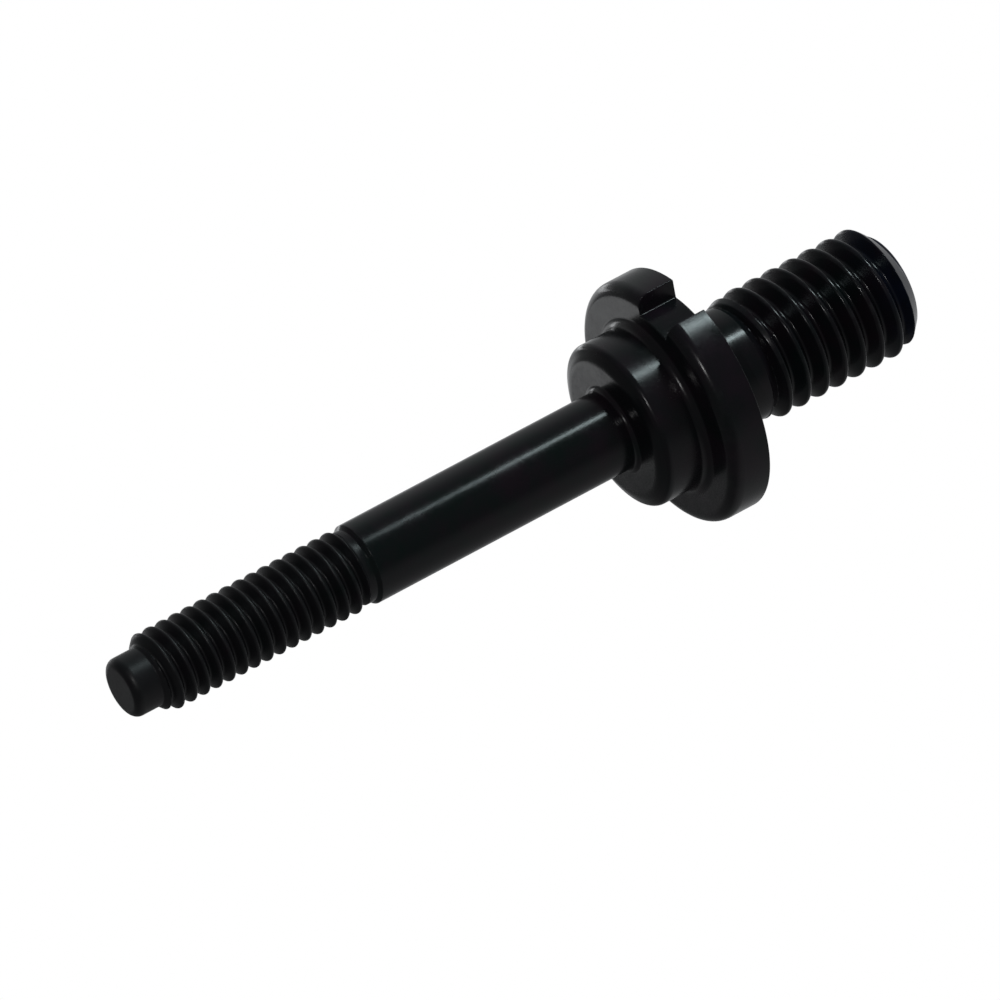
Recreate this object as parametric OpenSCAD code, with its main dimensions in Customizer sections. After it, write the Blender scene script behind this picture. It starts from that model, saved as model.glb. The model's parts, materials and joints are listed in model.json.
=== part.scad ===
// Quick change tool post stud: a black-finished steel post built up from four turned pieces.
// Origin: centre of the index flange's back face, where the post seats on its block.
// +Z runs up the post, towards the clamp thread. +X points through the index notch.

/* [Index flange] */
// Outside diameter of the index flange
flange_d = 24.6; // [20.4:0.1:30]
// Thickness of the index flange
flange_t = 4.1; // [3.2:0.1:6]
// Radius on the flange's front rim
flange_rim_r = 1.2; // [0.4:0.1:1.4]
// Width of the index notch, as an angle about the post's axis
notch_angle = 23; // [12:1:40]
// Depth of the index notch, in from the flange's rim
notch_depth = 1.95; // [1:0.05:2.4]

/* [Pilot collar] */
// Outside diameter of the pilot collar
collar_d = 16.6; // [13.6:0.1:17.6]
// Length of the pilot collar, from the flange's front face
collar_len = 4.95; // [3:0.05:8]
// Width of the chamfer on the collar's front rim, across the face
collar_chamfer_w = 1.3; // [0.2:0.1:1.4]
// Height of the same chamfer, along the post
collar_chamfer_h = 0.6; // [0.2:0.1:1]
// Radius of the fillet between the collar and the flange
collar_fillet_r = 0.9; // [0.3:0.1:0.9]

/* [Shank] */
// Diameter of the smooth shank
shank_d = 8; // [7.6:0.05:9.8]
// Length of the smooth shank
shank_len = 29.15; // [15:0.05:60]
// Radius of the fillet between the shank and the collar
shank_fillet_r = 0.5; // [0.2:0.1:0.8]
// Chamfer on the shank's end, beside the relief groove
shank_chamfer = 0.35; // [0.1:0.05:0.5]
// Diameter of the relief groove beside the clamp thread
relief_d = 7.3; // [6.4:0.05:7.5]
// Length of the relief groove
relief_len = 0.7; // [0.4:0.1:2]

/* [Clamp thread] */
// Outside diameter of the clamp thread (5/16 in)
clamp_thread_d = 7.94; // [6.6:0.01:9.6]
// Pitch of the clamp thread (18 to the inch)
clamp_thread_pitch = 1.411; // [1:0.001:1.75]
// Length of the clamp thread
clamp_thread_len = 22.5; // [10:0.1:40]
// Diameter of the dog point
dog_d = 5.9; // [4.9:0.1:6]
// Length of the dog point
dog_len = 2.9; // [2:0.1:5]
// Radius on the dog point's rim
dog_rim_r = 0.8; // [0.2:0.1:1.2]

/* [Base thread] */
// Diameter of the plain neck below the flange
neck_d = 11.4; // [9.5:0.1:12]
// Length of the neck below the seat face
neck_len = 5; // [3:0.1:10]
// How far the neck stands up into the back of the flange
neck_register = 1.5; // [0.5:0.1:2.5]
// Outside diameter of the base thread (1/2 in)
base_thread_d = 12.7; // [11.2:0.1:15.3]
// Pitch of the base thread (12 to the inch)
base_thread_pitch = 2.117; // [1.5:0.001:2.54]
// Length of the base thread, with its end chamfer
base_thread_len = 17.4; // [12:0.1:30]
// Diameter of the flat on the end of the base thread
base_end_d = 9.5; // [8.4:0.1:9.6]

/* [Assembly] */
// Diameter of the spigot that ties the four pieces together
spigot_d = 6.5; // [5:0.1:7]
// How far the spigot reaches down into the base stud
spigot_depth = 14; // [8:0.5:16]
// Gap between the end of the spigot and the bottom of its hole
spigot_end_gap = 0.5; // [0.2:0.1:1]
// Chamfer on the end of the spigot
spigot_chamfer = 0.6; // [0.2:0.1:1]
// Radial clearance of the spigot in the pieces it holds, 0 for line-to-line
spigot_clearance = 0; // [0:0.005:0.05]

/* [Hidden] */

black_oxide = "#1b1d20";
// How far a cutting shape runs past the face that it cuts
overshoot = 1;

// Heights along the post, measured from the seat face
collar_z = flange_t;
shank_z = collar_z + collar_len;
relief_z = shank_z + shank_len;
clamp_thread_z = relief_z + relief_len;
dog_z = clamp_thread_z + clamp_thread_len;
base_thread_z = -neck_len - base_thread_len;
// Length of the plain core inside the base thread, which joins it to the neck
base_core_len = base_thread_len / 2;
// Depth of the clamp thread's plain core below the roots, and its reach into the shank
core_cover = 0.4;

// Rounded 55 degree thread form: each point is [share of the pitch, share of the depth]
THREAD_FORM = [[0, 0], [0.12, 0.12], [0.38, 0.88], [0.5, 1], [0.62, 0.88], [0.88, 0.12]];
// Thread depth as a share of the pitch
thread_depth_ratio = 0.6403;
// Sides of a thread's round section
thread_sides = 30;
// Rise over run of a thread's 45 degree lead-in
lead_in_slope = 1;
// Rise over run where the clamp thread runs out at its groove, and the base thread at the neck
clamp_run_out_slope = 0.9;
base_run_out_slope = 0.4;
// Step down from a plain bar to the run-out of the thread beside it
run_out_step = 0.1;
// Angles at which the two threads start, about the post's axis
clamp_thread_start = 103;
base_thread_start = 309;

$fn = 96;

function thread_core_d(d, pitch) = d - 2 * thread_depth_ratio * pitch;

clamp_core_d = min(dog_d, thread_core_d(clamp_thread_d, clamp_thread_pitch)) - 2 * core_cover;

// Radius of a thread at height z. Near each end, cones draw the crest down and the root up
// to that end's own radius, so that both ends are round.
function thread_r(share, z, d, pitch, len, low_r, low_slope, high_r, high_slope) =
    let (form_r = thread_core_d(d, pitch) / 2 + share * thread_depth_ratio * pitch,
         low_rise = z * low_slope,
         high_rise = (len - z) * high_slope)
        min(max(form_r, low_r - low_rise, high_r - high_rise), low_r + low_rise, high_r + high_rise);

// Right-hand threaded rod with flat ends, from z = 0 to z = len.
// Each side of the rod is a column of points that climbs with the helix.
module threaded_rod(d, pitch, len, low_r, low_slope, high_r, high_slope) {
    form_points = len(THREAD_FORM);
    rows = ceil(len / pitch + 2) * form_points + 1;
    points = [
        for (side = [0 : thread_sides - 1], row = [0 : rows - 1])
            let (form = THREAD_FORM[row % form_points],
                 turn = floor(row / form_points) - 1 + side / thread_sides,
                 z = max(0, min(len, (turn + form[0]) * pitch)),
                 r = thread_r(form[1], z, d, pitch, len, low_r, low_slope, high_r, high_slope),
                 a = 360 * side / thread_sides)
                [r * cos(a), r * sin(a), z]
    ];
    // The last side meets the first one a whole turn further up
    function index(side, row) = side < thread_sides
        ? side * rows + row
        : min(row + form_points, rows - 1);
    quads = [
        for (side = [0 : thread_sides - 1], row = [0 : rows - 2])
            [index(side, row), index(side + 1, row), index(side + 1, row + 1), index(side, row + 1)]
    ];
    halves = [for (q = quads) each [[q[0], q[2], q[1]], [q[0], q[3], q[2]]]];
    flanks = [
        for (f = halves)
            if (points[f[0]] != points[f[1]] && points[f[1]] != points[f[2]] && points[f[2]] != points[f[0]])
                f
    ];
    low_end = [for (side = [0 : thread_sides - 1]) side * rows];
    high_end = [for (side = [thread_sides - 1 : -1 : 0]) side * rows + rows - 1];
    polyhedron(points = points, faces = concat(flanks, [low_end, high_end]), convexity = 20);
}

// Half section of a round bar with one rounded rim, from z = 0 to z = len
module rounded_bar_section(r, len, rim_r) {
    square([r - rim_r, len]);
    square([r, len - rim_r]);
    translate([r - rim_r, len - rim_r])
        circle(r = rim_r);
}

// Half section of a concave fillet that stands on z = 0 and hugs a bar of radius r
module fillet_section(r, fillet_r) {
    translate([r, 0])
        difference() {
            square(fillet_r);
            translate([fillet_r, fillet_r])
                circle(r = fillet_r);
        }
}

// Half section of a bar with a chamfer w wide and h high, from z = 0 to z = len
module chamfered_bar_section(r, len, w, h) {
    polygon([[0, 0], [r, 0], [r, len - h], [r - w, len], [0, len]]);
}

// The spigot's hole, through the pieces that it holds
module spigot_hole(low_z, high_z) {
    translate([0, 0, low_z])
        cylinder(d = spigot_d + 2 * spigot_clearance, h = high_z - low_z);
}

// Dog point, clamp thread, relief groove and shank, with the long spigot below
module clamp_stud() {
    color(black_oxide) {
        translate([0, 0, dog_z])
            rotate_extrude()
                rounded_bar_section(dog_d / 2, dog_len, dog_rim_r);
        translate([0, 0, clamp_thread_z])
            rotate([0, 0, clamp_thread_start])
                threaded_rod(clamp_thread_d, clamp_thread_pitch, clamp_thread_len,
                             relief_d / 2 - run_out_step, clamp_run_out_slope,
                             thread_core_d(clamp_thread_d, clamp_thread_pitch) / 2, lead_in_slope);
        translate([0, 0, relief_z])
            cylinder(d = relief_d, h = relief_len);
        // Plain core inside the thread, from the shank into the dog point
        translate([0, 0, relief_z - core_cover])
            cylinder(d = clamp_core_d, h = core_cover + relief_len + clamp_thread_len + dog_len / 2);
        translate([0, 0, shank_z])
            rotate_extrude() {
                chamfered_bar_section(shank_d / 2, shank_len, shank_chamfer, shank_chamfer);
                fillet_section(shank_d / 2, shank_fillet_r);
            }
        translate([0, 0, shank_z])
            mirror([0, 0, 1])
                rotate_extrude()
                    chamfered_bar_section(spigot_d / 2, shank_z + spigot_depth,
                                          spigot_chamfer, spigot_chamfer);
    }
}

// Plain ring that centres the tool holder, with a fillet at its foot
module pilot_collar() {
    color(black_oxide)
        difference() {
            translate([0, 0, collar_z])
                rotate_extrude() {
                    chamfered_bar_section(collar_d / 2, collar_len, collar_chamfer_w, collar_chamfer_h);
                    fillet_section(collar_d / 2, collar_fillet_r);
                }
            spigot_hole(0, shank_z + overshoot);
        }
}

// Round flange with one index notch cut through its rim
module index_flange() {
    color(black_oxide)
        difference() {
            rotate_extrude()
                rounded_bar_section(flange_d / 2, flange_t, flange_rim_r);
            spigot_hole(-overshoot, flange_t + overshoot);
            translate([0, 0, -overshoot])
                cylinder(d = neck_d + 2 * spigot_clearance, h = neck_register + overshoot);
            rotate([0, 0, -notch_angle / 2])
                rotate_extrude(angle = notch_angle)
                    translate([flange_d / 2 - notch_depth, -overshoot])
                        square([notch_depth + overshoot, flange_t + 2 * overshoot]);
        }
}

// Neck and base thread, bored to take the spigot
module base_stud() {
    color(black_oxide)
        difference() {
            union() {
                translate([0, 0, -neck_len])
                    cylinder(d = neck_d, h = neck_len + neck_register);
                // Plain core inside the thread, which joins it to the neck
                translate([0, 0, -neck_len - base_core_len])
                    cylinder(d = base_end_d, h = neck_len + base_core_len);
                translate([0, 0, base_thread_z])
                    rotate([0, 0, base_thread_start])
                        threaded_rod(base_thread_d, base_thread_pitch, base_thread_len,
                                     base_end_d / 2, lead_in_slope,
                                     neck_d / 2 - run_out_step, base_run_out_slope);
            }
            spigot_hole(-spigot_depth - spigot_end_gap, neck_register + overshoot);
        }
}

clamp_stud();
pilot_collar();
index_flange();
base_stud();
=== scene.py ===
"""Looks for the quick change tool post stud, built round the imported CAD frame.

Outlines are drawn in millimetres as half sections: r out from the post's axis, z up it.
"""
import json
import math
import bmesh
import bpy
import numpy as np
from mathutils import Matrix, Vector


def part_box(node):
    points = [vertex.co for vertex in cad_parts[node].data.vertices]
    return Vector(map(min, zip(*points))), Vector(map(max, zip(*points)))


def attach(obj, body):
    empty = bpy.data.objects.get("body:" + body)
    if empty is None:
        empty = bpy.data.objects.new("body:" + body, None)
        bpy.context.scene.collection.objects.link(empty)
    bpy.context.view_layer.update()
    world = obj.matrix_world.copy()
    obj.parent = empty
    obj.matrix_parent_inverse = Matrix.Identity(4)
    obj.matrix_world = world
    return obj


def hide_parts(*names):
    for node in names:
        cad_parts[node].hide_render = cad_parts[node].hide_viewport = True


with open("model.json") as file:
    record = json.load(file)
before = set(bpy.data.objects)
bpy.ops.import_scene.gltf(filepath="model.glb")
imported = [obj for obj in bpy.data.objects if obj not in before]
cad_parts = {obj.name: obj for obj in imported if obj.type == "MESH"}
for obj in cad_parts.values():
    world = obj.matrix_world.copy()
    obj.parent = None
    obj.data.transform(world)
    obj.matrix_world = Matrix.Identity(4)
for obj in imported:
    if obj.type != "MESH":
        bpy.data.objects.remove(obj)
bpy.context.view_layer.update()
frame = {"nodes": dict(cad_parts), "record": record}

MM = 0.001

# ---------------------------------------------------------------- sizes, from the frame
mounts = {m["name"]: m for m in frame["record"]["mounts"]}
stud_low, stud_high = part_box("clamp_stud")
collar_low, collar_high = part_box("pilot_collar")
flange_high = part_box("index_flange")[1]
base_low, base_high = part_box("base_stud")

post_top = stud_high[2] / MM
spigot_bottom = stud_low[2] / MM
collar_foot = collar_low[2] / MM
collar_top = collar_high[2] / MM
flange_top = flange_high[2] / MM
flange_r = flange_high[1] / MM
collar_foot_r = collar_high[0] / MM
register_top = base_high[2] / MM
base_end = base_low[2] / MM
collar_r = mounts["pilot_collar"]["dims"]["r_mm"]
shank_r = mounts["shank"]["dims"]["r_mm"]
notch_floor_r = mounts["index_notch"]["pos_m"][0] / MM
collar_fillet_r = collar_foot_r - collar_r

# ---------------------------------------------------------------- sizes of the details
spigot_r = 3.25
spigot_chamfer_w = 0.3
spigot_chamfer_h = 0.6
spigot_end_gap = 0.5
shank_fillet_r = 0.5
shank_chamfer = 0.35
shank_end = 38.2
relief_r = 3.65
relief_len = 0.7
# A crest of each thread passes +X at height crest_z
clamp_thread = {"crest_r": 3.97, "pitch": 1.411, "crest_z": 49.08, "low_z": 38.9, "high_z": 61.4}
dog_r = 2.95
dog_rim_r = 0.8
collar_chamfer_w = 1.3
collar_chamfer_h = 0.6
neck_r = 5.7
neck_bottom = -5.0
base_thread = {"crest_r": 6.35, "pitch": 2.117, "crest_z": -8.34, "low_z": base_end, "high_z": neck_bottom}
base_end_r = 4.75
notch_half_angle = math.radians(11.5)
# Rounding of the edges that are only broken
EDGE_BREAK = 0.1

# The rounded 55 degree thread form: its depth and its crest radius are shares of the pitch
THREAD_DEPTH = 0.6403
CREST_ROUND = 0.1373
FLANK_ANGLE = math.radians(27.5)


# ---------------------------------------------------------------- outlines
def edge_highlight_share(radius):
    """Share of the painted highlight on a rounded outer edge: 1 on a tight one, less on a gentle one."""
    tight_radius = 0.35
    return min(1.0, tight_radius / radius)


def rounded(corners):
    """Points (r, z, painted highlight) along an open outline whose corners are (r, z, rounding radius).

    Flats and hollows get no painted highlight.
    """
    fewest_steps, step_angle = 4, 9
    points = []
    for i, (r, z, radius) in enumerate(corners):
        if i in (0, len(corners) - 1) or radius == 0:
            points.append((r, z, 0.0))
            continue
        here = np.array([r, z], float)
        before = np.array(corners[i - 1][:2], float) - here
        after = np.array(corners[i + 1][:2], float) - here
        before /= np.linalg.norm(before)
        after /= np.linalg.norm(after)
        opening = math.acos(float(np.clip(before @ after, -1, 1)))
        turn = math.pi - opening
        middle = here + (before + after) / np.linalg.norm(before + after) * radius / math.sin(opening / 2)
        start = here + before * radius / math.tan(opening / 2) - middle
        finish = here + after * radius / math.tan(opening / 2) - middle
        hollow = before[0] * after[1] - before[1] * after[0] > 0
        wear = 0.0 if hollow else edge_highlight_share(radius)
        steps = max(fewest_steps, round(math.degrees(turn) / step_angle))
        for k in range(steps + 1):
            share = k / steps
            spoke = (start * math.sin((1 - share) * turn) + finish * math.sin(share * turn)) / math.sin(turn)
            points.append((*(middle + spoke), wear))
    return with_support(points)


def with_support(points):
    """Adds points close to both ends of each long straight, so that smooth shading stays flat there."""
    near, longest = 0.04, 1.5
    out = []
    for start, finish in zip(points, points[1:]):
        out.append(start)
        a, b = np.array(start), np.array(finish)
        length = float(np.hypot(*(b - a)[:2]))
        if length > 6 * near:
            pieces = max(1, math.ceil(length / longest))
            shares = [near / length, *[k / pieces for k in range(1, pieces)], 1 - near / length]
            for share in shares:
                r, z = (a + (b - a) * share)[:2]
                out.append((r, z, 0.0))
    out.append(points[-1])
    return out


# ---------------------------------------------------------------- threads
def soft_min(a, b, width):
    """The smaller of a and b, with the crease between them softened over width."""
    return -width * np.logaddexp(-a / width, -b / width)


def thread_form(distance, pitch):
    """Height of the rounded 55 degree form at an axial distance from the nearest crest."""
    depth = THREAD_DEPTH * pitch
    arc = CREST_ROUND * pitch
    reach = arc * math.cos(FLANK_ANGLE)
    crest = depth - arc + np.sqrt(np.maximum(arc ** 2 - distance ** 2, 0))
    from_root = pitch / 2 - distance
    root = arc - np.sqrt(np.maximum(arc ** 2 - from_root ** 2, 0))
    drop = arc * (1 - math.sin(FLANK_ANGLE))
    flank = depth - drop - (distance - reach) / math.tan(FLANK_ANGLE)
    return np.where(distance < reach, crest, np.where(from_root < reach, root, flank))


def thread_rows(spec, low_r, low_slope, high_r, high_slope, step, columns):
    """Rows (z, radius per column, painted highlight per column) of a right-hand thread, from its low end to
    its high end.

    Cones at both ends draw the crests down and the roots up to the radius there.
    """
    pitch, crest_r = spec["pitch"], spec["crest_r"]
    root_r = crest_r - THREAD_DEPTH * pitch
    steps = round((spec["high_z"] - spec["low_z"]) / step)
    z = np.linspace(spec["low_z"], spec["high_z"], steps + 1)[:, None]
    turn = (np.arange(columns) / columns)[None, :]
    phase = (z - spec["crest_z"]) / pitch - turn
    distance = np.abs(phase - np.round(phase)) * pitch
    height = thread_form(distance, pitch)
    radius = root_r + height
    low_rise = (z - spec["low_z"]) * low_slope
    high_rise = (spec["high_z"] - z) * high_slope
    crease = 0.03
    for floor in (low_r - low_rise, high_r - high_rise):
        radius = -soft_min(-radius, -floor, crease)
    for ceiling in (low_r + low_rise, high_r + high_rise):
        radius = soft_min(radius, ceiling, crease)
    # Only the top of a full crest gets the painted highlight
    highlight_from, most_highlight = 0.8, 0.6
    wear = np.clip((height / (THREAD_DEPTH * pitch) - highlight_from) / (1 - highlight_from), 0, 1)
    wear = wear * (radius > root_r + highlight_from * height)
    return [(float(z[k, 0]), radius[k], most_highlight * wear[k]) for k in range(1, steps)]


# ---------------------------------------------------------------- meshes
def turned_mesh(name, rows, columns):
    """A closed turned body from rows (z, radius, painted highlight), from its low pole to its high pole.

    Radius and painted highlight are numbers, or one number for each column.
    """
    angle = np.arange(columns) * 2 * math.pi / columns
    inner = rows[1:-1]
    radius = np.array([np.broadcast_to(r, columns) for z, r, w in inner])
    height = np.array([np.full(columns, z) for z, r, w in inner])
    wear = np.array([np.broadcast_to(w, columns) for z, r, w in inner])
    ring = np.stack([radius * np.cos(angle), radius * np.sin(angle), height], -1).reshape(-1, 3)
    points = np.vstack([ring, [[0, 0, rows[0][0]], [0, 0, rows[-1][0]]]]) * MM
    count = len(inner)
    low_pole, high_pole = count * columns, count * columns + 1
    row, here = np.meshgrid(np.arange(count - 1), np.arange(columns), indexing="ij")
    low, high, after = row * columns, (row + 1) * columns, (here + 1) % columns
    faces = np.stack([low + here, low + after, high + after, high + here], -1).reshape(-1, 4).tolist()
    top = (count - 1) * columns
    for j in range(columns):
        k = (j + 1) % columns
        faces.append([low_pole, k, j])
        faces.append([high_pole, top + j, top + k])
    return mesh_object(name, points, faces, np.append(wear.reshape(-1), [0, 0]))


def ring_mesh(name, sections, angles):
    """A closed ring: one closed outline of (r, z, painted highlight) for each angle, all with the same count
    of points.
    """
    sections = np.array(sections)
    count, rows = sections.shape[:2]
    a = np.array(angles)[:, None]
    points = np.stack([sections[..., 0] * np.cos(a), sections[..., 0] * np.sin(a), sections[..., 1]], -1)
    i, j = np.meshgrid(np.arange(count), np.arange(rows), indexing="ij")
    n, m = (i + 1) % count, (j + 1) % rows
    faces = np.stack([i * rows + j, n * rows + j, n * rows + m, i * rows + m], -1).reshape(-1, 4).tolist()
    return mesh_object(name, points.reshape(-1, 3) * MM, faces, sections[..., 2].reshape(-1))


def mesh_object(name, points, faces, wear):
    """A smooth-shaded object, sharp only where its faces meet at more than sharp_from."""
    sharp_from = math.radians(40)
    mesh = bpy.data.meshes.new(name)
    mesh.from_pydata([tuple(p) for p in points], [], faces)
    # Each point's share of the painted highlight, which the material reads
    layer = mesh.attributes.new("wear", "FLOAT", "POINT")
    layer.data.foreach_set("value", np.asarray(wear, np.float32))
    mesh.validate()
    mesh.update()
    piece = bpy.data.objects.new(name, mesh)
    bpy.context.collection.objects.link(piece)
    tidy_mesh(mesh)
    mesh.shade_smooth()
    mesh.set_sharp_from_angle(angle=sharp_from)
    return piece


def tidy_mesh(mesh):
    """Joins points that coincide, drops faces with no area and turns every face outwards."""
    same_place, no_length = 1e-7, 1e-8
    work = bmesh.new()
    work.from_mesh(mesh)
    bmesh.ops.remove_doubles(work, verts=work.verts, dist=same_place)
    bmesh.ops.dissolve_degenerate(work, dist=no_length, edges=work.edges)
    bmesh.ops.recalc_face_normals(work, faces=work.faces)
    work.to_mesh(mesh)
    work.free()


# ---------------------------------------------------------------- pieces
def as_rows(points):
    return [(z, r, wear) for r, z, wear in points]


def make_clamp_stud():
    """Spigot, shank, relief groove, thread and dog point, as one turned body."""
    columns = 160
    low = rounded([
        (0, spigot_bottom, 0),
        (spigot_r - spigot_chamfer_w, spigot_bottom, EDGE_BREAK),
        (spigot_r, spigot_bottom + spigot_chamfer_h, EDGE_BREAK),
        (spigot_r, collar_top, 0.05),
        (shank_r + shank_fillet_r, collar_top, 0),
    ])
    fillet = [
        (shank_r + shank_fillet_r * (1 - math.cos(a)), collar_top + shank_fillet_r * (1 - math.sin(a)), 0.0)
        for a in np.radians(np.linspace(78, 0, 10))
    ]
    middle = rounded([
        (shank_r, collar_top + shank_fillet_r, 0),
        (shank_r, shank_end - shank_chamfer, 0.12),
        (relief_r, shank_end, 0.08),
        (relief_r, shank_end + relief_len, 0),
    ])
    root_r = clamp_thread["crest_r"] - THREAD_DEPTH * clamp_thread["pitch"]
    thread = thread_rows(clamp_thread, low_r=relief_r - 0.05, low_slope=0.9, high_r=root_r, high_slope=1.0,
                         step=0.05, columns=columns)
    high = rounded([
        (dog_r + 0.1, clamp_thread["high_z"], 0),
        (dog_r, clamp_thread["high_z"] + 0.12, EDGE_BREAK),
        (dog_r, post_top, dog_rim_r),
        (0, post_top, 0),
    ])
    rows = as_rows(low) + as_rows(fillet)[1:] + as_rows(middle)[1:] + thread + as_rows(high)
    return turned_mesh("clamp_stud_turned", rows, columns)


def make_pilot_collar():
    """Ring with a soft chamfer on its front rim and a fillet at its foot."""
    columns = 192
    face_round, side_round = 1.8, 0.7
    foot = collar_foot_r
    top = rounded([
        (spigot_r, collar_foot, 0.0),
        (spigot_r, collar_top, 0.06),
        (collar_r - collar_chamfer_w, collar_top, face_round),
        (collar_r, collar_top - collar_chamfer_h, side_round),
        (collar_r, collar_foot + collar_fillet_r, 0.0),
    ])
    fillet = [
        (foot - collar_fillet_r * math.sin(a), collar_foot + collar_fillet_r * (1 - math.cos(a)), 0.0)
        for a in np.radians(np.linspace(84, 8, 14))
    ]
    outline = top + fillet + [(foot, collar_foot, 0.0), (foot - 0.3, collar_foot, 0.0)]
    angles = np.arange(columns) * 2 * math.pi / columns
    return ring_mesh("pilot_collar_turned", [outline] * columns, angles)


def flange_outline(rim_r, front_round, back_round):
    """Closed outline of the flange at one angle, whose rim there is at rim_r.

    All such outlines have the same count of points, and are the same inside shared_r.
    """
    shared_r = notch_floor_r - 0.2
    support, reach = 0.05, 0.7
    arc_steps, run_steps = 10, 12
    front_r, front_z = rim_r - front_round, flange_top - front_round
    back_r, back_z = rim_r - back_round, back_round
    points = [
        (spigot_r, flange_top, 0.0),
        (collar_foot_r - 0.5, flange_top, 0.0),
        (shared_r, flange_top, 0.0),
        (shared_r + reach * (front_r - shared_r), flange_top, 0.0),
    ]
    for k in range(arc_steps + 1):
        a = math.radians(90 * (1 - k / arc_steps))
        points.append((front_r + front_round * math.cos(a), front_z + front_round * math.sin(a),
                       edge_highlight_share(front_round)))
    points.append((rim_r, front_z - support, 0.0))
    for k in range(1, run_steps):
        points.append((rim_r, front_z + (back_z - front_z) * k / run_steps, 0.0))
    points.append((rim_r, back_z + support, 0.0))
    for k in range(arc_steps + 1):
        a = math.radians(-90 * k / arc_steps)
        points.append((back_r + back_round * math.cos(a), back_z + back_round * math.sin(a),
                       edge_highlight_share(back_round)))
    points += [
        (shared_r + reach * (back_r - shared_r), 0.0, 0.0),
        (shared_r, 0.0, 0.0),
        (neck_r + 0.1, 0.0, 0.0),
        (neck_r, 0.0, 0.0),
        (neck_r, register_top, 0.0),
        (spigot_r, register_top, 0.0),
    ]
    return points


def make_index_flange():
    """Flange whose rim drops to the notch's floor between two radial walls."""
    front_round, back_round, notch_round = 1.2, EDGE_BREAK, 0.12
    edge_round, floor_round = 0.1, 0.15
    columns = 230
    sections, angles = [], []

    def outside(gap):
        """Rim radius at a distance outside a notch wall: the wall's outer edge is rounded."""
        if gap >= edge_round:
            return flange_r
        return flange_r - edge_round + math.sqrt(edge_round ** 2 - (edge_round - gap) ** 2)

    def inside(gap):
        """Floor radius at a distance inside a notch wall: the corner is filleted."""
        if gap >= floor_round:
            return notch_floor_r
        return notch_floor_r + floor_round - math.sqrt(floor_round ** 2 - (floor_round - gap) ** 2)

    def add(angle, rim_r, front, back):
        sections.append(flange_outline(rim_r, front, back))
        angles.append(angle)

    edge_gaps = [edge_round * (1 - math.cos(math.radians(a))) for a in range(0, 91, 18)]
    floor_gaps = [floor_round * (1 - math.cos(math.radians(a))) for a in range(0, 91, 15)]
    for gap in edge_gaps:
        add(notch_half_angle + gap / flange_r, outside(gap), front_round, back_round)
    clear = notch_half_angle + 1.6 * edge_round / flange_r
    for k in range(columns):
        add(clear + (2 * math.pi - 2 * clear) * k / (columns - 1), flange_r, front_round, back_round)
    for gap in reversed(edge_gaps):
        add(2 * math.pi - notch_half_angle - gap / flange_r, outside(gap), front_round, back_round)
    for gap in floor_gaps:
        add(-notch_half_angle + gap / notch_floor_r, inside(gap), notch_round, notch_round)
    floor_half = notch_half_angle - 1.5 * floor_round / notch_floor_r
    for k in range(13):
        add(-floor_half + 2 * floor_half * k / 12, notch_floor_r, notch_round, notch_round)
    for gap in reversed(floor_gaps):
        add(notch_half_angle - gap / notch_floor_r, inside(gap), notch_round, notch_round)
    return ring_mesh("index_flange_milled", sections, angles)


def make_base_stud():
    """Neck and base thread round the spigot's blind hole."""
    columns = 192
    thread = thread_rows(base_thread, low_r=base_end_r + 0.06, low_slope=1.0, high_r=neck_r - 0.03,
                         high_slope=0.4, step=0.055, columns=columns)
    low = rounded([
        (0, base_end, 0),
        (base_end_r, base_end, 0.12),
        (base_end_r + 0.2, base_end + 0.2, 0),
    ])[:-1]
    thread = [row for row in thread if row[0] > low[-1][1] + 0.03]
    high = rounded([
        (neck_r, neck_bottom + 0.02, 0),
        (neck_r, register_top, EDGE_BREAK),
        (spigot_r, register_top, EDGE_BREAK),
        (spigot_r, spigot_bottom - spigot_end_gap, EDGE_BREAK),
        (0, spigot_bottom - spigot_end_gap, 0),
    ])
    rows = as_rows(low) + thread + as_rows(high)
    return turned_mesh("base_stud_turned", rows, columns)


# ---------------------------------------------------------------- materials
class Nodes:
    """Short hand for building one node tree."""

    def __init__(self, tree):
        self.tree = tree
        tree.nodes.clear()

    def put(self, socket, value):
        """Links value to the socket if it is a socket itself, and otherwise sets it there."""
        if isinstance(value, bpy.types.NodeSocket):
            self.tree.links.new(value, socket)
        else:
            socket.default_value = value

    def add(self, kind, inputs=None, **settings):
        node = self.tree.nodes.new(kind)
        for key, value in settings.items():
            setattr(node, key, value)
        for key, value in (inputs or {}).items():
            self.put(node.inputs[key], value)
        return node

    def maths(self, operation, a, b=0.0, clamp=False):
        return self.add("ShaderNodeMath", {0: a, 1: b}, operation=operation, use_clamp=clamp).outputs[0]

    def spread(self, value, low, high, to_low, to_high):
        node = self.add("ShaderNodeMapRange", {
            "Value": value, "From Min": low, "From Max": high, "To Min": to_low, "To Max": to_high})
        return node.outputs["Result"]

    def noise(self, where, scale, detail=3.0, roughness=0.55):
        node = self.add("ShaderNodeTexNoise",
                        {"Vector": where, "Scale": scale, "Detail": detail, "Roughness": roughness})
        return node.outputs["Fac"]

    def mix(self, share, a, b):
        """Colour between a and b. The node's colour sockets are numbers 6 and 7."""
        return self.add("ShaderNodeMix", {0: share, 6: a, 7: b}, data_type="RGBA").outputs[2]


# Scales of the noise patterns, per metre
CLOUD_SCALE = 260.0
PATCH_SCALE = 420.0
HIGHLIGHT_PATCH_SCALE = 900.0
GRAIN_SCALE = 2600.0
LATHE_SCALE = 5200.0

# Pale colour of the painted highlight on outer edges and crest tops
HIGHLIGHT_PALE = (0.035, 0.036, 0.038, 1.0)
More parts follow.
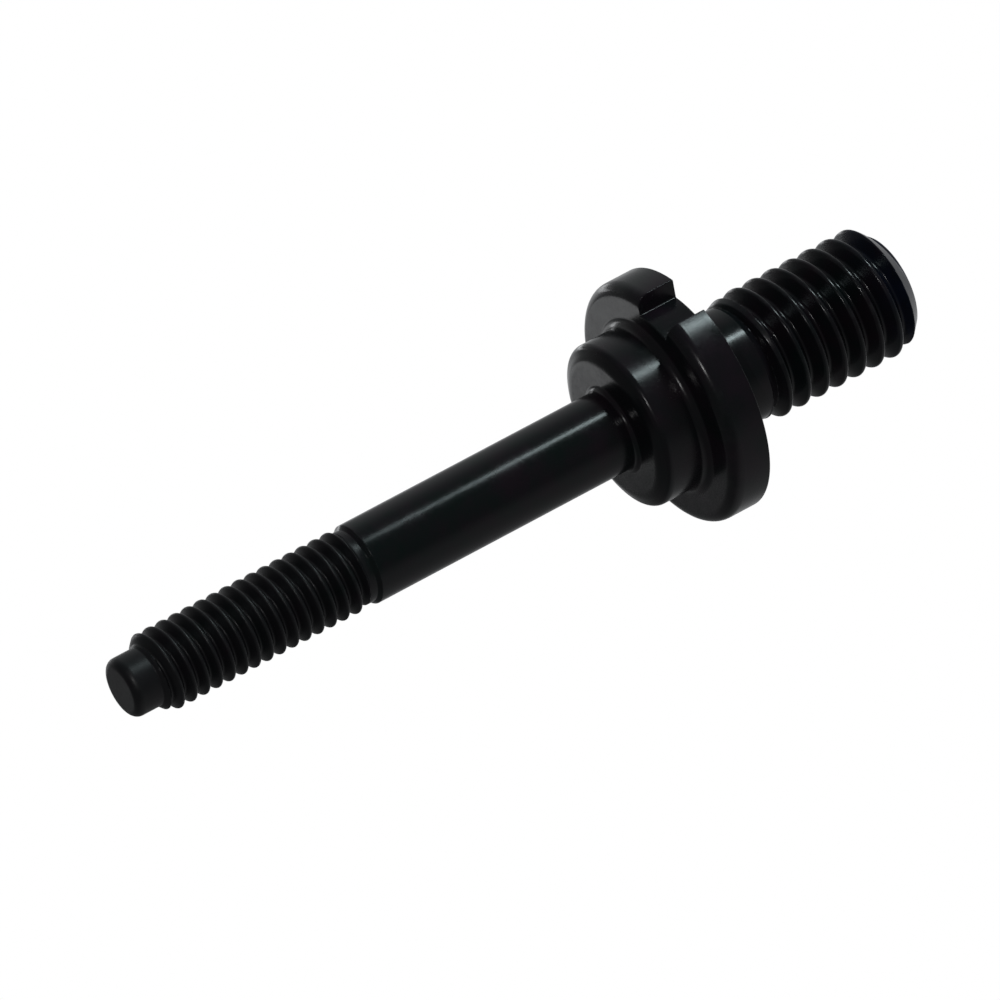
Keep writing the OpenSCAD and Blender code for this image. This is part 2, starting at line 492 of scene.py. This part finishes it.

# Finish of each material slot. An end can take another tint and roughness:
# the height where it is full, the height where it has gone, its tint and its added roughness.
FINISHES = {
    "black_oxide": {
        "cool": (0.006, 0.015, 0.014), "warm": (0.019, 0.011, 0.018), "rough": (0.14, 0.24), "marks": 1.0,
        "end": (clamp_thread["low_z"] * MM, shank_end * MM, (0.019, 0.019, 0.022), 0.2),
    },
    "black_oxide_collar": {
        "cool": (0.009, 0.014, 0.015), "warm": (0.020, 0.012, 0.019), "rough": (0.17, 0.28), "marks": 1.0,
        "end": (collar_high[2], collar_high[2] - 1.0 * MM, (0.010, 0.012, 0.014), 0.0),
    },
    "black_oxide_flange": {
        "cool": (0.008, 0.014, 0.014), "warm": (0.021, 0.013, 0.021), "rough": (0.16, 0.26), "marks": 1.2,
    },
    "black_oxide_base": {
        "cool": (0.007, 0.013, 0.014), "warm": (0.018, 0.011, 0.017), "rough": (0.15, 0.25), "marks": 1.6,
        "end": (base_low[2], base_low[2] + 4.5 * MM, (0.011, 0.017, 0.046), 0.0),
    },
}


def black_oxide(name, cool, warm, rough, marks, end=None):
    """Glossy black oxide on turned steel: uneven tint, fine tool marks and a painted highlight, paler colour,
    on outer edges and crest tops.
    """
    material = bpy.data.materials.new(name)
    material.use_nodes = True
    n = Nodes(material.node_tree)
    where = n.add("ShaderNodeTexCoord").outputs["Object"]
    x, y, z = n.add("ShaderNodeSeparateXYZ", {0: where}).outputs
    cloud = n.noise(where, CLOUD_SCALE)
    grain = n.noise(where, GRAIN_SCALE, 4.0)
    colour = n.mix(n.spread(cloud, 0.35, 0.65, 0.0, 1.0), (*cool, 1.0), (*warm, 1.0))
    roughness = n.spread(n.maths("ADD", cloud, grain), 0.7, 1.3, *rough)
    if end:
        full_z, gone_z, tint, added_rough = end
        share = n.spread(z, full_z, gone_z, 1.0, 0.0)
        patch = n.spread(n.noise(where, PATCH_SCALE), 0.35, 0.6, 0.35, 1.0)
        colour = n.mix(n.maths("MULTIPLY", share, patch), colour, (*tint, 1.0))
        roughness = n.maths("ADD", roughness, n.maths("MULTIPLY", share, added_rough))
    # Outer edges get a painted highlight: paler colour in patches, and a little duller there
    edge = n.add("ShaderNodeAttribute", attribute_name="wear").outputs["Fac"]
    edge_highlight_mask = n.maths("MULTIPLY", edge, n.spread(n.noise(where, HIGHLIGHT_PATCH_SCALE), 0.45, 0.7, 0.0, 1.0), clamp=True)
    colour = n.mix(edge_highlight_mask, colour, HIGHLIGHT_PALE)
    roughness = n.maths("ADD", roughness, n.maths("MULTIPLY", edge_highlight_mask, 0.08))
    # Tool marks run round the post, on its sides and on its flat faces
    radius = n.maths("SQRT", n.maths("ADD", n.maths("MULTIPLY", x, x), n.maths("MULTIPLY", y, y)))
    track = n.add("ShaderNodeCombineXYZ", {"X": n.maths("ADD", z, radius)}).outputs[0]
    lathe = n.noise(track, LATHE_SCALE, 2.0, 0.7)
    height = n.maths("ADD", n.maths("MULTIPLY", lathe, marks), n.maths("MULTIPLY", grain, 0.35))
    bump = n.add("ShaderNodeBump", {"Strength": 0.22, "Distance": 0.012 * MM, "Height": height})
    shader = n.add("ShaderNodeBsdfPrincipled", {
        "Base Color": colour, "Roughness": roughness, "Normal": bump.outputs[0],
        "Metallic": 0.0, "IOR": 1.5,
    })
    n.add("ShaderNodeOutputMaterial", {"Surface": shader.outputs[0]})
    return material


def dress(piece, node, slot):
    """The piece stands for its CAD node, and both get the slot's finish."""
    material = black_oxide(slot, **FINISHES[slot])
    piece.data.materials.append(material)
    cad_materials = frame["nodes"][node].data.materials
    cad_materials.clear()
    cad_materials.append(material)
    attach(piece, "root")
    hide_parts(node)


# ---------------------------------------------------------------- camera
# The post's own directions as the camera sees it: toward is the perpendicular nearest the camera,
# aside the one across the view.
VIEW_TO_AXIS = math.radians(67.4)
ROLL = math.radians(27.96)
DISTANCE = 1415.0 * MM
AIM_UP_AXIS = 22.39 * MM
AIM_ASIDE = 0.874 * MM
LENS = 552.7
toward = Vector((math.cos(math.radians(-40)), math.sin(math.radians(-40)), 0))
aside = Vector((math.cos(math.radians(50)), math.sin(math.radians(50)), 0))
up_axis = Vector((0, 0, 1))


def make_camera():
    back = math.sin(VIEW_TO_AXIS) * toward + math.cos(VIEW_TO_AXIS) * up_axis
    seen_axis = math.sin(VIEW_TO_AXIS) * up_axis - math.cos(VIEW_TO_AXIS) * toward
    right = -math.sin(ROLL) * aside - math.cos(ROLL) * seen_axis
    up = math.cos(ROLL) * aside - math.sin(ROLL) * seen_axis
    place = AIM_UP_AXIS * up_axis - AIM_ASIDE * aside + DISTANCE * back
    camera = bpy.data.objects.new("camera", bpy.data.cameras.new("camera"))
    camera.data.lens = LENS
    camera.data.sensor_width = 36.0
    camera.data.clip_start = 0.05
    camera.data.clip_end = 20.0
    turn = Matrix((right, up, back)).transposed().to_4x4()
    camera.matrix_world = Matrix.Translation(place) @ turn
    bpy.context.collection.objects.link(camera)
    bpy.context.scene.camera = camera


# ---------------------------------------------------------------- light
WHITE = (1.0, 1.0, 1.0)
PALE = (0.97, 0.985, 1.0)
ROOM_LEVEL = 0.06
# Soft round patches of light in the room: degrees around and up, the angles within which each is full
# and past which it has gone, and its strength
GLOWS = [
    (-100, -25, 20, 60, 0.11),
    (150, -25, 15, 70, 0.16),
    (166, -4, 11, 24, 0.42),
    (100, -25, 10, 45, 0.05),
    (180, -55, 10, 48, 0.34),
]


def direction(around, up):
    """Unit direction: around is degrees from toward to aside, up is degrees above the flange's plane."""
    a, e = math.radians(around), math.radians(up)
    return math.cos(e) * (math.cos(a) * toward + math.sin(a) * aside) + math.sin(e) * up_axis


def make_world():
    """White to the camera; to the post, a dim room with soft patches of light, most of them behind it."""
    world = bpy.data.worlds.new("studio")
    bpy.context.scene.world = world
    world.use_nodes = True
    n = Nodes(world.node_tree)
    seen = n.add("ShaderNodeTexCoord").outputs["Generated"]

    def glow(centre, inner, outer, strength):
        """A soft round patch of light: full inside inner degrees, none past outer degrees."""
        dot = n.add("ShaderNodeVectorMath", {0: seen, 1: centre}, operation="DOT_PRODUCT").outputs["Value"]
        node = n.add("ShaderNodeMapRange", {
            "Value": dot, "From Min": math.cos(math.radians(outer)), "From Max": math.cos(math.radians(inner)),
            "To Min": 0.0, "To Max": strength}, interpolation_type="SMOOTHSTEP")
        return node.outputs["Result"]

    level = ROOM_LEVEL
    for around, up, inner, outer, strength in GLOWS:
        level = n.maths("ADD", level, glow(direction(around, up), inner, outer, strength))
    room = n.add("ShaderNodeBackground", {"Color": (*PALE, 1.0), "Strength": level})
    white = n.add("ShaderNodeBackground", {"Color": (*WHITE, 1.0), "Strength": 1.0})
    camera_ray = n.add("ShaderNodeLightPath").outputs["Is Camera Ray"]
    both = n.add("ShaderNodeMixShader", {0: camera_ray, 1: room.outputs[0], 2: white.outputs[0]})
    n.add("ShaderNodeOutputWorld", {"Surface": both.outputs[0]})


def make_lamp(name, place, target, across, width, length, power, colour):
    """Rectangular lamp that shines from place to target: width along across, length the other way."""
    data = bpy.data.lights.new(name, "AREA")
    data.shape = "RECTANGLE"
    data.size, data.size_y = width, length
    data.energy = power
    data.color = colour
    lamp = bpy.data.objects.new(name, data)
    back = (place - target).normalized()
    right = (across - across.dot(back) * back).normalized()
    up = back.cross(right)
    lamp.matrix_world = Matrix.Translation(place) @ Matrix((right, up, back)).transposed().to_4x4()
    bpy.context.collection.objects.link(lamp)


def make_lamps():
    flange_middle = Vector((0, 0, flange_top * MM))
    # The long highlight along the shank, the collar, the flange and the neck
    strip = flange_middle + 0.55 * direction(48, -25) - 0.062 * up_axis
    make_lamp("strip_lamp", strip, flange_middle, across=direction(138, 0),
              width=0.07, length=0.16, power=0.62, colour=(0.82, 0.98, 1.0))
    # A small pale card behind the post, mirrored by the upper half of the front faces
    mirrored = direction(180, 90 - math.degrees(VIEW_TO_AXIS))
    card = flange_middle + 0.15 * mirrored + 0.016 * aside
    make_lamp("face_card", card, card - mirrored, across=aside,
              width=0.030, length=0.044, power=0.0025, colour=PALE)
    # Small sparks on the crests, fillets and rims
    small = flange_middle + 0.8 * direction(11, 28)
    make_lamp("small_lamp", small, flange_middle, across=direction(101, 0),
              width=0.012, length=0.012, power=0.5, colour=WHITE)
    # A tall strip far round behind, which draws the post's outline from the side and the back
    behind = direction(152, 0)
    tall = flange_middle + 0.5 * behind + 0.02 * up_axis
    make_lamp("back_lamp", tall, tall - behind, across=direction(242, 0),
              width=0.05, length=0.26, power=0.08, colour=PALE)


def make_floor():
    """Plain pale floor under the base thread, bright enough to melt into the background."""
    drop, half = 0.004, 3.0
    z = base_low[2] - drop
    mesh = bpy.data.meshes.new("floor")
    corners = [(-half, -half, z), (half, -half, z), (half, half, z), (-half, half, z)]
    mesh.from_pydata(corners, [], [(0, 1, 2, 3)])
    floor = bpy.data.objects.new("floor", mesh)
    material = bpy.data.materials.new("pale_floor")
    material.use_nodes = True
    n = Nodes(material.node_tree)
    glow = n.add("ShaderNodeEmission", {"Color": (*WHITE, 1.0), "Strength": 1.0})
    n.add("ShaderNodeOutputMaterial", {"Surface": glow.outputs[0]})
    mesh.materials.append(material)
    bpy.context.collection.objects.link(floor)
    # The post neither mirrors the floor nor is lit by it
    floor.visible_glossy = False
    floor.visible_diffuse = False
    floor.visible_shadow = False


bpy.context.scene.view_settings.view_transform = "Standard"
make_camera()
make_world()
make_lamps()
make_floor()

dress(make_clamp_stud(), "clamp_stud", "black_oxide")
dress(make_pilot_collar(), "pilot_collar", "black_oxide_collar")
dress(make_index_flange(), "index_flange", "black_oxide_flange")
dress(make_base_stud(), "base_stud", "black_oxide_base")
